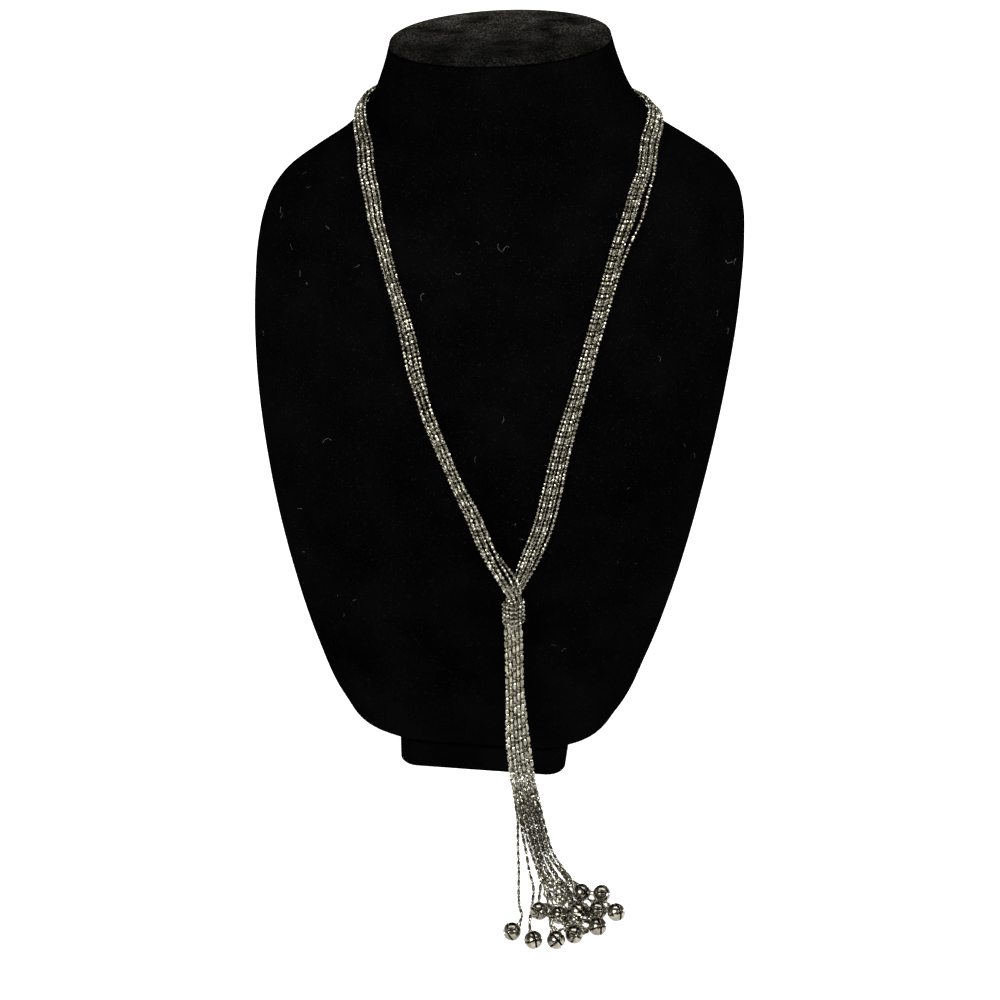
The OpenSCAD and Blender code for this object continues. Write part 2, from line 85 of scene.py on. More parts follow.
# The band: angle, share of the way up from the knot, pitch of the lower layer, shift of the upper
# layer, share of the knot's lift
ROUTE = np.array([
    [-79.4, 0.000, 1.14, -1.0, 1.00],
    [-80.2, 0.012, 1.14, -1.0, 1.00],
    [-82.2, 0.038, 1.20, -1.0, 0.90],
    [-84.7, 0.069, 1.30, -1.0, 0.66],
    [-87.2, 0.106, 1.40, -1.0, 0.32],
    [-90.2, 0.165, 1.25, -1.0, 0.08],
    [-94.0, 0.224, 1.00, -1.0, 0.00],
    [-100.4, 0.338, 1.20, -1.0, 0.00],
    [-102.4, 0.385, 1.25, -0.5, 0.00],
    [-104.3, 0.432, 1.30, 0.0, 0.00],
    [-106.5, 0.497, 1.25, 0.0, 0.00],
    [-109.2, 0.560, 1.00, 0.0, 0.00],
    [-112.0, 0.619, 1.00, 0.0, 0.00],
    [-115.2, 0.681, 1.12, 0.0, 0.00],
    [-119.6, 0.734, 1.30, 0.0, 0.00],
    [-129.6, 0.784, 1.40, 0.0, 0.00],
    [-145.0, 0.827, 1.40, 0.0, 0.00],
    [-168.0, 0.861, 1.30, 0.0, 0.00],
    [-191.0, 0.868, 1.25, 0.0, 0.00],
    [-220.0, 0.868, 1.25, 0.0, 0.00],
    [-245.0, 0.866, 1.25, 0.0, 0.00],
    [-270.0, 0.862, 1.25, 0.0, 0.00],
    [-295.0, 0.857, 1.25, 0.0, 0.00],
    [-320.0, 0.849, 1.25, 0.0, 0.00],
    [-345.0, 0.840, 1.30, 0.0, 0.00],
    [-367.8, 0.829, 1.50, 0.0, 0.00],
    [-388.0, 0.808, 1.58, 0.0, 0.00],
    [-402.9, 0.773, 1.45, 0.0, 0.00],
    [-413.8, 0.730, 1.35, 0.0, 0.00],
    [-419.2, 0.672, 1.30, 0.0, 0.00],
    [-422.3, 0.601, 1.25, 0.0, 0.00],
    [-425.1, 0.511, 1.20, 0.0, 0.00],
    [-427.2, 0.418, 1.25, 0.0, 0.00],
    [-429.8, 0.310, 1.50, 0.0, 0.00],
    [-431.5, 0.210, 1.65, 0.0, 0.00],
    [-433.2, 0.138, 1.60, 0.0, 0.05],
    [-435.7, 0.078, 1.55, 0.0, 0.25],
    [-437.6, 0.040, 1.30, 0.0, 0.70],
    [-439.3, 0.012, 1.14, 0.0, 1.00],
    [-440.0, 0.000, 1.14, 0.0, 1.00],
])
# Loose chains: chain, middle and half length of the loose stretch as shares of the route, distance
# in pitches
LOOSE = [(5, 0.725, 0.045, 1.25), (4, 0.135, 0.05, 0.4), (5, 0.90, 0.05, 0.35), (0, 0.05, 0.06, -2.2)]
# The tails' way down: share of the drop, sideways offset from the knot, pitch
DRIFT = np.array([
    [0, 0, 1.70],
    [0.2, 0.6, 1.70],
    [0.5, 1.6, 1.70],
    [0.75, 3.0, 1.85],
    [1, 5.4, 2.00],
    [1.5, 9.6, 2.10],
])
# The tails: layer in the bundle, place on the table, place under the knot, points past the landing,
# bell's place, heading of the cap, turn of the bell, rise
Tail = namedtuple("Tail", "layer place start points bell heading turn rise")
TAILS = [Tail(*row) for row in [
    (1, -3.0, -1.5, [[15, 5.2], [25, 6.4], [39, 8.3], [54, 9.9], [63, 11.2]], (10.2, 83.0), -5, -22, 0),
    (2, -2.5, -2.0, [[15, 7.4], [25, 9.9], [39, 12.9], [50, 15.8], [59, 16.4], [67, 16.4]],
        (19.6, 87.2), 9, 12, 0),
    (0, -2.0, -1.0, [[15, 9.2], [25, 12.2], [34, 15.0], [44, 18.1], [50, 18.8]], (20.1, 68.6), 3, 8, 0),
    (2, -1.5, -1.0, [[15, 10.3], [25, 13.2], [34, 16.0], [44, 18.9], [57, 22.4], [68, 24.5]],
        (28.8, 86.2), 12, 10, 0),
    (1, -1.0, -0.5, [[15, 11.4], [25, 14.2], [34, 17.0], [44, 20.3]], (28.6, 70.2), 17, 5, 0),
    (2, -0.5, 0.0, [[15, 12.5], [25, 15.2], [34, 18.0], [44, 22.2], [57, 28.0], [68, 32.0]],
        (36.0, 81.8), 17, -6, 0),
    (0, 0.0, 0.0, [[15, 13.5], [25, 16.2], [34, 19.2], [44, 23.9]], (36.2, 67.0), 25, 4, 0),
    (2, 0.5, 1.0, [[15, 14.5], [25, 17.2], [34, 20.6], [44, 25.5], [54, 31.5], [59, 35.2]],
        (45.2, 75.6), 30, -4, 0),
    (1, 1.0, 0.5, [[15, 15.5], [25, 18.2], [34, 21.8], [44, 27.2], [50, 31.2]], (44.5, 65.2), 42, 6, 0),
    (2, 1.5, 2.0, [[15, 16.5], [25, 19.3], [34, 23.3]], (36.9, 56.6), 24, 12, 1.92),
    (0, 1.9, 1.0, [[15, 17.5], [25, 20.2], [34, 24.4], [44, 30.5], [52, 37.2]], (52.3, 65.4), 55, -20, 0),
    (1, 2.4, 1.5, [[15, 18.5], [25, 21.4], [31.5, 24.4], [38, 28.5]], (45.3, 54.0), 52, 1, 0),
]]

# Curls of slack chain between the bells: offset from the knot, distance past the landing, reach
CURLS = [
    (20.5, 43, 0.35), (22.5, 48, 0.4), (26.5, 51, 0.45), (31, 53, 0.5), (24.5, 56, 0.6),
    (29, 60, 0.8), (27, 45, 0.3), (31, 48, 0.35), (22, 52, 0.35), (34, 61, 1), (25, 66, 0.9),
    (31, 68, 1), (38, 61, 1), (40, 67, 1), (34, 73, 1), (41, 72, 1), (46, 60, 0.8), (30, 77, 0.8),
    (37, 76, 0.9),
]

PITCH = CHAIN_D + CHAIN_GAP
LAYER_RISE = PITCH * math.sqrt(3) / 2
FORM_H = BUST_H - FOOT_H
PLATE_SHARE = 1 - (PLATE_T + SEAM) / FORM_H


# Shape of the form

SKIN_STEP, SHARE_STEP = 0.3, 0.002


def bend(a, b, slope_a, slope_b, t):
    """Smooth step from a to b with a slope at each end."""
    return (a * (1 + 2 * t) * (1 - t) ** 2 + b * t * t * (3 - 2 * t)
            + slope_a * t * (1 - t) ** 2 - slope_b * t * t * (1 - t))


def smooth_at(table, column, x):
    """Smooth curve through a table whose first column rises."""
    table = np.asarray(table, float)
    places, values = table[:, 0], table[:, column]
    span = np.diff(places)
    grade = np.diff(values) / span
    slope = np.empty(len(values))
    slope[0], slope[-1] = grade[0], grade[-1]
    slope[1:-1] = (grade[:-1] * span[1:] + grade[1:] * span[:-1]) / (span[:-1] + span[1:])
    x = np.asarray(x, float)
    i = np.clip(np.searchsorted(places, x, side="right") - 1, 0, len(span) - 1)
    t = np.clip((x - places[i]) / span[i], 0, 1)
    return bend(values[i], values[i + 1], slope[i] * span[i], slope[i + 1] * span[i], t)


def ease(t):
    """Smooth step from 0 to 1."""
    u = np.clip(t, 0, 1)
    return u * u * (3 - 2 * u)


def unit(v):
    return v / np.linalg.norm(v, axis=-1, keepdims=True)


def power(v, e):
    """Power that keeps the sign."""
    return np.sign(v) * np.abs(v) ** e


def skin(angle, share):
    """Point of the velvet at an angle in degrees and a height share."""
    angle, share = np.broadcast_arrays(np.radians(np.asarray(angle, float)), np.asarray(share, float))
    half, widest, front, back, squareness, shift = (smooth_at(SECTIONS, c, share) for c in range(1, 7))
    half, widest, front, back = half * BUST_W / 2, widest * BUST_D, front * BUST_D, back * BUST_D
    e = 2 / squareness
    reach = np.where(np.sin(angle) > 0, back - widest, widest - front)
    x = shift * BUST_W / 2 + half * power(np.cos(angle), e)
    z = FOOT_H + SEAM + share * (FORM_H - SEAM)
    return np.stack([x + BUST_LEAN * (z - BUST_H / 2), widest + reach * power(np.sin(angle), e),
                     z + SHOULDER_SLOPE * ease((share - 0.6) / 0.2) * x], -1)


def skin_across(angle, share):
    return (skin(angle + SKIN_STEP, share) - skin(angle - SKIN_STEP, share)) / (2 * SKIN_STEP)


def skin_up(angle, share):
    return (skin(angle, share + SHARE_STEP) - skin(angle, share - SHARE_STEP)) / (2 * SHARE_STEP)


def skin_out(angle, share):
    return unit(np.cross(skin_across(angle, share), skin_up(angle, share)))


# Route of the band

# Distance in pitches up to which a chain lies round another one, and the height there
REST, REST_RISE = 0.8, 0.6
# How near the chains of the band count to each other
CROWD = 0.92
# Points of a chain from one row of the route to the next, and how far ahead its way is looked up
ROUTE_STEPS, AHEAD = 24, 0.02
# Lift at the knot of the band's two ends, in layers
FRONT_BAND, BACK_BAND = 0.55, -1.6
SLANT_DIP = 0.5
KNOT_END_SHARE = KNOT_SHARE + (KNOT_TURNS * TURN_RISE / 2 + END_GAP + SLANT_DIP) / FORM_H
TURN_R = KNOT_CORE_D / 2 + 0.3 * CHAIN_D
KNOT_OUT = TURN_R + CHAIN_D / 2 + VELVET_GAP
BASE_OUT = CHAIN_D / 2 + VELVET_GAP
KNOT_AT = skin(KNOT_ANGLE, KNOT_SHARE) + skin_out(KNOT_ANGLE, KNOT_SHARE) * KNOT_OUT
KNOT_H = KNOT_TURNS * TURN_RISE


def over(gap):
    """Height in pitches of a chain over another one: round it, then straight down its side."""
    return np.where(gap < REST, np.sqrt(np.maximum(0, 1 - gap * gap)),
                    np.maximum(0, (1 - REST * gap) / REST_RISE))


def route_rows(u):
    """Rows of the route at places counted in its points."""
    i = np.clip(np.floor(u).astype(int), 0, len(ROUTE) - 2)
    t = (u - i)[:, None]
    slope = np.gradient(ROUTE, axis=0)
    rows = bend(ROUTE[i], ROUTE[i + 1], slope[i], slope[i + 1], t)
    rows[:, 1] = KNOT_END_SHARE + (1 - KNOT_END_SHARE) * rows[:, 1]
    return rows


def lateral(k, rows, place):
    """Distance of a chain from the middle of the band."""
    pitch, above = rows[:, 2], rows[:, 3]
    shift = 2 * above if k % 2 else 0
    loose = np.zeros(len(place))
    for loose_chain, middle, half, distance in LOOSE:
        if loose_chain == k:
            loose += distance * (1 - ease(np.abs(place - middle) / half))
    return PITCH * ((k - (CHAINS - 1) / 2 + shift - above) * pitch / 2 + loose)


def strand_line(k):
    """Middle of a chain of the band, from the knot round the neck to the knot, and its outward way."""
    last = len(ROUTE) - 1
    u = np.linspace(0, last, ROUTE_STEPS * last + 1)
    rows = route_rows(u)
    step = route_rows(np.minimum(u + AHEAD, last)) - route_rows(np.maximum(u - AHEAD, 0))
    angle, share, at_knot = rows[:, 0], rows[:, 1], rows[:, 4]
    place = u / last
    going_up = place < 0.5
    across, up, out = skin_across(angle, share), skin_up(angle, share), skin_out(angle, share)
    along = across * step[:, 0:1] + up * step[:, 1:2]
    level = unit(np.cross([0.0, 0.0, 1.0], out)) * np.where(going_up, -1, 1)[:, None]
    square = unit(np.cross(out, along))
    side = unit(square + (level - square) * at_knot[:, None])
    a = lateral(k, rows, place)
    to_angle, to_share = np.cross(up, out), np.cross(out, across)
    angle = angle + a * (side * to_angle).sum(1) / (across * to_angle).sum(1)
    share = share + a * (side * to_share).sum(1) / (up * to_share).sum(1)
    height = np.zeros(len(u))
    if k % 2:
        for j in range(0, CHAINS, 2):
            gap = CROWD * np.abs(a - lateral(j, rows, place)) / PITCH
            height = np.maximum(height, PITCH * over(gap))
    out = skin_out(angle, share)
    lift = KNOT_OUT + np.where(going_up, FRONT_BAND, BACK_BAND) * LAYER_RISE - BASE_OUT
    return skin(angle, share) + out * (BASE_OUT + at_knot * lift + height)[:, None], out


# Ways of the tails

# A tail's stations run from 0 to 1 down the drop, on to LANDED in the bend, then in millimetres
BEND_SPAN = 0.5
LANDED = 1 + BEND_SPAN
# Shares of the drop where the bundle begins to loosen, and over which it does
LOOSEN_FROM, LOOSEN_OVER = 0.15, 0.6
# How near the tails on the table count to each other, and the rise at which one is carried in full
FLAT_FACTOR, CARRIED = 0.88, 0.3
DROP_TOP = KNOT_AT[2] - KNOT_H / 2 - END_GAP
FLOOR_OUT = CHAIN_D / 2 + 0.03
DROP_Y = KNOT_AT[1] + LAYER_RISE
LAND_Y = DROP_Y - LANDING_R
LANDING_LEAN = (DRIFT[-1][1] - DRIFT[-2][1]) / (LANDING_R * math.pi / 2)
# Length over which a tail turns and rises to its cap
CAP_RUN = 6
BELL_R = BELL_D / 2
BELL_Z = BELL_R + 0.02
CUP_Z = CUP_D / 2 + 0.02
EYE_REACH = BELL_R + EYE_R
EYE_DIP = math.asin((BELL_Z - CUP_Z) / EYE_REACH)


def heading(degrees):
    """Way over the table, turned from straight ahead to the wearer's left."""
    return np.array([math.sin(math.radians(degrees)), math.cos(math.radians(degrees))])


def ring_at(tail):
    return (np.array(tail.bell) - heading(tail.heading + tail.turn) * EYE_REACH * math.cos(EYE_DIP)
            - heading(tail.heading) * (RING_R + LINK_GAP))


def cup_at(tail):
    return ring_at(tail) - heading(tail.heading) * (RING_R + CUP_L)


def tail_end(tail):
    return cup_at(tail) - heading(tail.heading) * END_GAP


def over_table(offset, z):
    """Point over a place on the table that is given from the landing."""
    return np.array([KNOT_AT[0] + offset[0], LAND_Y - offset[1], z])


def tail_x(tail, s):
    """Sideways place of a tail at its stations."""
    start = DRIFT[-1][1] + tail.place * DRIFT[-1][2]
    end = tail_end(tail)
    near = end - heading(tail.heading) * CAP_RUN
    plan = [[-LANDING_R, start - LANDING_R * LANDING_LEAN], [0, start], *tail.points,
            [near[1], near[0]], [end[1], end[0]]]
    loose = ease((s - LOOSEN_FROM) / LOOSEN_OVER)
    pitch = smooth_at(DRIFT, 2, s)
    down = smooth_at(DRIFT, 1, s) + tail.start * PITCH * (1 - loose) + tail.place * pitch * loose
    return np.where(s <= LANDED, down, smooth_at(plan, 1, s - LANDED))


def tail_height(tail, s):
    """Height of a tail over the ones behind or below it."""
    height = np.zeros(len(s))
    flat = s > LANDED
    for lower in TAILS:
        if lower.layer < tail.layer:
            gap = np.abs(tail_x(tail, s) - tail_x(lower, s)) * np.where(flat, FLAT_FACTOR, 1) / PITCH
            rise = np.where(flat & (s - LANDED > tail_end(lower)[1]), 0, over(gap))
            carried = tail_height(lower, s) * np.minimum(1, rise / CARRIED)
            height = np.maximum(height, np.where(rise > 0, PITCH * rise + carried, 0))
    return height


def tail_line(tail):
    """Middle of a tail from the knot to its cap, and its upward way."""
    length = tail_end(tail)[1]
    s = np.concatenate([
        np.linspace(0, 1, 160, endpoint=False), np.linspace(1, LANDED, 60, endpoint=False),
        LANDED + np.linspace(0, length, 200)])
    bent = np.pi / 2 * np.clip((s - 1) / BEND_SPAN, 0, 1)
    past = np.maximum(0, s - LANDED)
    out = np.stack([np.zeros(len(s)), -np.cos(bent), np.sin(bent)], 1)
    to_cap = np.where(past > 0, ease(1 - (length - past) / CAP_RUN), 0)
    height = tail_height(tail, s) * (1 - to_cap) + (tail.rise + CUP_Z - FLOOR_OUT) * to_cap
    y = np.where(s < 1, DROP_Y, LAND_Y + LANDING_R * np.cos(bent) - past)
    z = np.where(s < 1, DROP_TOP + (LANDING_R + FLOOR_OUT - DROP_TOP) * np.minimum(s, 1),
                 FLOOR_OUT + LANDING_R * (1 - np.sin(bent)))
    return np.stack([KNOT_AT[0] + tail_x(tail, s), y, z], 1) + out * height[:, None], out


# Mesh making

def piece(name, points, faces, *nodes, paint, smooth=True):
    """A piece from points in millimetres, in place of CAD nodes."""
    mesh = bpy.data.meshes.new(name)
    mesh.from_pydata((np.asarray(points) * MM).tolist(), [], [list(map(int, f)) for f in faces])
    mesh.validate()
    if smooth:
        mesh.shade_smooth()
    else:
        mesh.shade_flat()
    mesh.materials.append(paint)
    made = bpy.data.objects.new(name, mesh)
    bpy.context.scene.collection.objects.link(made)
    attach(made, "root")
    if nodes:
        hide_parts(*nodes)
    return made


def grid_faces(rows, sides):
    """Faces between rings of points."""
    return [[k * sides + j, k * sides + (j + 1) % sides, (k + 1) * sides + (j + 1) % sides,
             (k + 1) * sides + j] for k in range(rows - 1) for j in range(sides)]


def end_faces(rows, sides):
    """The two faces that close a run of rings."""
    return [list(range(sides))[::-1], [(rows - 1) * sides + j for j in range(sides)]]


def lathe(profile, sides):
    """Points and faces of a profile of [radius, height] turned round the third axis."""
    a = 2 * np.pi * np.arange(sides) / sides
    points, rings = [], []
    for r, z in np.asarray(profile, float):
        start = len(points)
        if r < 1e-6:
            points.append([0, 0, z])
            rings.append([start] * sides)
        else:
            points += [[r * c, r * s, z] for c, s in zip(np.cos(a), np.sin(a))]
            rings.append(list(range(start, start + sides)))
    faces = []
    for low, high in zip(rings, rings[1:]):
        for j in range(sides):
            n = (j + 1) % sides
            faces.append(list(dict.fromkeys([low[j], low[n], high[n], high[j]])))
    return np.array(points), faces


def gather(parts):
    """Joins lists of points and faces into one."""
    points, faces, count = [], [], 0
    for p, f in parts:
        points.append(p)
        faces += [[v + count for v in face] for face in f]
        count += len(p)
    return np.concatenate(points), faces


class Line:
    """A curve that is measured along its length."""

    def __init__(self, points, ups):
        self.points, self.ups = points, ups
        steps = np.linalg.norm(np.diff(points, axis=0), axis=1)
        self.at = np.concatenate([[0], np.cumsum(steps)])
        self.length = self.at[-1]

    def point(self, s):
        return np.stack([np.interp(s, self.at, self.points[:, c]) for c in range(3)], -1)

    def up(self, s):
        return unit(np.stack([np.interp(s, self.at, self.ups[:, c]) for c in range(3)], -1))


def wire(line, start, end, radius, sides=6, step=1.6):
    """Thin closed tube along a line."""
    count = max(2, int((end - start) / step))
    s = np.linspace(start, end, count + 1)
    middles, ups = line.point(s), line.up(s)
    along = unit(np.gradient(middles, axis=0))
    side = unit(np.cross(along, ups))
    up = np.cross(side, along)
    a = 2 * np.pi * np.arange(sides) / sides
    points = (middles[:, None] + radius * (side[:, None] * np.cos(a)[:, None]
                                           + up[:, None] * np.sin(a)[:, None])).reshape(-1, 3)
    return points, grid_faces(count + 1, sides) + end_faces(count + 1, sides)


# Bars, balls and links

BAR_L, BALL_D = 3.4, 1.5
# Radius of the links between bars and balls, and of the closer links that show on the table
LINK_R, TABLE_LINK_R = 0.2, 0.45
# Height, and length of a bar and a ball with their links there
UNITS = np.array([[0, 6.5], [70, 6.4], [110, 6.0], [170, 5.7], [240, 5.35], [290, 5.2]])


def cut_bar(waist):
    """Bar with rows of cut facets. A row is its height, its radius and whether it is half a facet on."""
    rows = [(-BAR_L / 2, 0.4, 0), (-1.4, 0.68, 0), (-0.85, 0.77, 1), (-0.2, waist, 0), (0.2, waist, 1),
            (0.85, 0.77, 0), (1.4, 0.68, 1), (BAR_L / 2, 0.4, 1)]
    sides = 7
    points = []
    for z, r, shifted in rows:
        for j in range(sides):
            a = (2 * j + shifted) * math.pi / sides
            points.append([r * math.cos(a), r * math.sin(a), z])
    faces = end_faces(len(rows), sides)
    for k in range(len(rows) - 1):
        for j in range(sides):
            a, b = k * sides + j, k * sides + (j + 1) % sides
            c, d = a + sides, b + sides
            if rows[k][2] == rows[k + 1][2]:
                faces.append([a, b, d, c])
            elif rows[k][2] == 0:
                faces += [[a, b, c], [b, d, c]]
            else:
                faces += [[a, b, d], [a, d, c]]
    return np.array(points), faces


BAR, LOOP_BAR = cut_bar(0.74), cut_bar(0.5)
BALL = lathe([[BALL_D / 2 * math.sin(a), -BALL_D / 2 * math.cos(a)]
              for a in np.linspace(0, math.pi, 7)], 9)


def any_turn():
    return chance.uniform(0, 6.28)


def first_bar(n):
    """Place of a chain's first bar, so that neighbours don't line up."""
    return 1.9 + 5 * (0.38 * n % 1)


def set_along(shape, line, s, half, roll, scale=1.0, stretch=1.0):
    """A shape set on a line at a length, its axis from half before to half after."""
    points, faces = shape
    a, b = line.point(np.array([s - half, s + half]))
    along = unit(b - a)
    side = unit(np.cross(along, line.up(np.array([s]))[0]))
    up = np.cross(side, along)
    c, n = math.cos(roll), math.sin(roll)
    side, up = c * side + n * up, c * up - n * side
    turned_points = points[:, 0:1] * side + points[:, 1:2] * up + points[:, 2:3] * stretch * along
    return (a + b) / 2 + scale * turned_points, faces


def chain(line, s):
    """Bars and balls in turn along a line on a wire of links, the first bar at s."""
    end = line.length
    parts = [wire(line, 0, end, LINK_R)]
    while s < end:
        z = line.point(s)[2]
        length = np.interp(z, UNITS[:, 0], UNITS[:, 1])
        stretch = length / UNITS[0, 1]
        half = BAR_L / 2 * stretch
        if s - half >= 0 and s + half <= end:
            bar = BAR if z < KNOT_AT[2] else LOOP_BAR
            parts.append(set_along(bar, line, s, half, any_turn(), stretch=stretch))
        ball = s + length / 2
        if ball + BALL_D / 2 <= end:
            parts.append(set_along(BALL, line, ball, BALL_D / 2, any_turn()))
        s += length
    return gather(parts)


# Finishes

class Link:
    """A socket of a finish. Sums on it add Math nodes."""

    def __init__(self, finish, socket):
        self.finish, self.socket = finish, socket

    def maths(self, operation, first, second):
        return self.finish.add("ShaderNodeMath", {"operation": operation}, {0: first, 1: second})

    def __add__(self, b):
        return self.maths("ADD", self, b)

    def __radd__(self, b):
        return self.maths("ADD", b, self)

    def __mul__(self, b):
        return self.maths("MULTIPLY", self, b)

    def __rmul__(self, b):
        return self.maths("MULTIPLY", b, self)


class Finish:
    """A material and the one way to add nodes to it."""

    def __init__(self, name):
        self.material = bpy.data.materials.new(name)
        self.material.use_nodes = True
        self.tree = self.material.node_tree
        self.tree.nodes.clear()

    def add(self, kind, settings=None, sockets=None, output=0):
        """Adds a node with its settings, then the values or links of its sockets."""
        node = self.tree.nodes.new(kind)
        for key, value in (settings or {}).items():
            setattr(node, key, value)
        for key, value in (sockets or {}).items():
            if isinstance(value, Link):
                self.tree.links.new(value.socket, node.inputs[key])
            else:
                node.inputs[key].default_value = value
        return Link(self, node.outputs[output]) if node.outputs else None

    def place(self):
        """Place on the part, in metres."""
        return self.add("ShaderNodeTexCoord", output="Object")

    def noise(self, scale, detail, roughness):
        return self.add("ShaderNodeTexNoise", None, {
            "Vector": self.place(), "Scale": scale, "Detail": detail, "Roughness": roughness})

    def spread(self, value, low, high):
        """Share from 0 at low to 1 at high."""
        return self.add("ShaderNodeMapRange", None, {
            "Value": value, "From Min": low, "From Max": high, "To Min": 0.0, "To Max": 1.0})

    def blend(self, factor, first, second):
        """Colour between two, which are the mix node's inputs 6 and 7. Its output 2 is the colour."""
        return self.add("ShaderNodeMix", {"data_type": "RGBA"}, {0: factor, 6: first, 7: second}, output=2)

    def relief(self, height, strength, distance):
        return self.add("ShaderNodeBump", None, {
            "Height": height, "Strength": strength, "Distance": distance}, output="Normal")

    def close(self, **sockets):
        """Ends the finish with one surface shader."""
        words = {key.replace("_", " ").replace("Ior", "IOR"): value for key, value in sockets.items()}
        surface = self.add("ShaderNodeBsdfPrincipled", None, words)
        self.add("ShaderNodeOutputMaterial", None, {"Surface": surface})
        return self.material


def grey(v):
    return (v, v, v, 1.0)


# What both velvets share: a deep pile with next to no sheen from the shader
PILE = {"Roughness": 0.95, "Specular_Ior_Level": 0.0, "Sheen_Weight": 0.001, "Sheen_Roughness": 0.3,
        "Sheen_Tint": grey(0.9)}


def form_velvet():
    """Brushed pile with fine pale flecks."""
    f = Finish("black velvet")
    deep, pale = 0.0003, 0.0012
    nap = f.noise(2600, 2, 0.6)
    brushed = f.noise(38, 3, 0.55)
    patches = f.noise(9, 2, 0.5)
    tone = f.spread(brushed * 0.6 + patches * 0.4, 0.35, 0.65)
    colour = f.blend(tone, grey(deep), grey(pale))
    fleck = f.spread(f.noise(1900, 0, 0.5), 0.72, 0.8)
    colour = f.blend(fleck * 0.5, colour, grey(7 * pale))
    normal = f.relief(nap + brushed * 1.5, 0.5, 0.0005)
    return f.close(Base_Color=colour, Normal=normal, **PILE)


def plate_velvet_with_painted_sheen():
    """Velvet whose pale speckle is painted sheen of the overhead light on the pile, stronger towards the
    back.
    """
    f = Finish("black velvet of the plate with painted sheen")
    depth = f.add("ShaderNodeSeparateXYZ", None, {"Vector": f.place()}, output="Y")
    # Painted sheen: the pale speckle grows towards the back of the plate
    back = f.spread(depth, 0.0, 0.06)
    sheen_speckle = f.spread(f.noise(1300, 2, 0.7), 0.47, 0.72)
    patches = f.spread(f.noise(70, 2, 0.5), 0.3, 0.7)
    # The pale colour is painted sheen of the overhead light, not a colour of the velvet
    colour = f.blend(sheen_speckle * patches * (back * 0.8 + 0.2), grey(0.0012), (0.12, 0.113, 0.094, 1))
    normal = f.relief(f.noise(900, 2, 0.6) + patches, 0.5, 0.0006)
    return f.close(Base_Color=colour, Normal=normal, **PILE)


def chain_silver():
    """Cut silver, darker where it has tarnished."""
    f = Finish("chain silver")
    cut = f.noise(900, 1, 0.4)
    wear = f.noise(330, 2, 0.6)
    tone = f.spread(wear, 0.36, 0.66)
    colour = f.blend(tone, (0.10, 0.094, 0.066, 1), (0.34, 0.325, 0.26, 1))
    rough = 0.12 + cut * 0.2
    normal = f.relief(cut, 0.45, 0.0001)
    return f.close(Base_Color=colour, Metallic=1.0, Roughness=rough, Normal=normal)


def bell_nickel():
    """Polished nickel under a thin film."""
    f = Finish("polished nickel")
    film = f.noise(260, 3, 0.55)
    scuff = f.noise(1500, 1, 0.5)
    tone = f.spread(film, 0.35, 0.65)
    colour = f.blend(tone, (0.09, 0.08, 0.062, 1), (0.27, 0.25, 0.205, 1))
    rough = 0.08 + film * 0.12 + scuff * 0.04
    normal = f.relief(film, 0.3, 0.0003)
    return f.close(Base_Color=colour, Metallic=1.0, Roughness=rough, Normal=normal)


def clapper_steel():
    f = Finish("dark steel")
    film = f.noise(700, 2, 0.5)
    colour = f.blend(film, (0.16, 0.155, 0.14, 1), (0.30, 0.29, 0.27, 1))
    return f.close(Base_Color=colour, Metallic=1.0, Roughness=0.3 + film * 0.15)


def lint_grey():
    f = Finish("lint")
    shade = f.noise(900, 1, 0.5)
    colour = f.blend(shade, grey(0.04), grey(0.13))
    return f.close(Base_Color=colour, Roughness=0.9, Specular_Ior_Level=0.2)


def floor_white():
    f = Finish("pale table")
    shade = f.noise(3, 2, 0.5)
    colour = f.blend(shade, (0.78, 0.78, 0.775, 1), (0.80, 0.80, 0.795, 1))
    return f.close(Base_Color=colour, Roughness=0.6, Specular_Ior_Level=0.2, Emission_Color=(1, 1, 1, 1),
                   Emission_Strength=0.92)


VELVET, PLATE_VELVET_PAINTED_SHEEN = form_velvet(), plate_velvet_with_painted_sheen()
SILVER, NICKEL = chain_silver(), bell_nickel()
STEEL, LINT = clapper_steel(), lint_grey()


# Bust, neck plate and foot

OUTLINE_SIDES = 192


def outline(share, inset=0.0):
    """Ring round the form at a height share, drawn in by an inset."""
    points = skin(360 * np.arange(OUTLINE_SIDES) / OUTLINE_SIDES, share)
    middle = (skin(90, share) + skin(-90, share)) / 2
    return points - inset * unit(points - middle)


def closed_form(rings):
    """Closed solid through rings, with a point in the middle of each end."""
    points = np.concatenate(rings)
    sides, rows = len(rings[0]), len(rings)
    middles = np.array([rings[0].mean(0), rings[-1].mean(0)])
    low, high = len(points), len(points) + 1
    faces = grid_faces(rows, sides)
    faces += [[low, (j + 1) % sides, j] for j in range(sides)]
    faces += [[high, (rows - 1) * sides + j, (rows - 1) * sides + (j + 1) % sides] for j in range(sides)]
    return np.concatenate([points, middles]), faces


def bust():
    """Neck and chest, with round edges at the foot and under the plate."""
    shares = np.concatenate([
        np.linspace(0, 0.1, 24, endpoint=False), np.linspace(0.1, 0.74, 90, endpoint=False),
        np.linspace(0.74, 0.985, 84)]) / 0.985 * PLATE_SHARE
    rings = [outline(0.0, 3.0), outline(0.0005, 1.0), outline(0.002, 0.3)]
    rings += [outline(s) for s in shares[1:]]
    rings += [outline(PLATE_SHARE, 0.5), outline(PLATE_SHARE, 1.3), outline(PLATE_SHARE, 3)]
    made = piece("bust_velvet", *closed_form(rings), "bust", paint=VELVET)


def neck_plate():
    """Plate with a soft rim. Its rows are shares of its thickness and insets."""
    low = PLATE_SHARE + SEAM / FORM_H
    rows = [[0, 3], [0, 1.4], [0.08, 0.6], [0.2, 0.15], [0.4, 0], [0.6, 0.05], [0.78, 0.4], [0.9, 1.1],
            [0.97, 2.2], [1, 4]]
    rings = [outline(low + (1 - low) * t, inset) for t, inset in rows]
    made = piece("neck_plate_velvet_painted_sheen", *closed_form(rings), "neck_plate", paint=PLATE_VELVET_PAINTED_SHEEN)


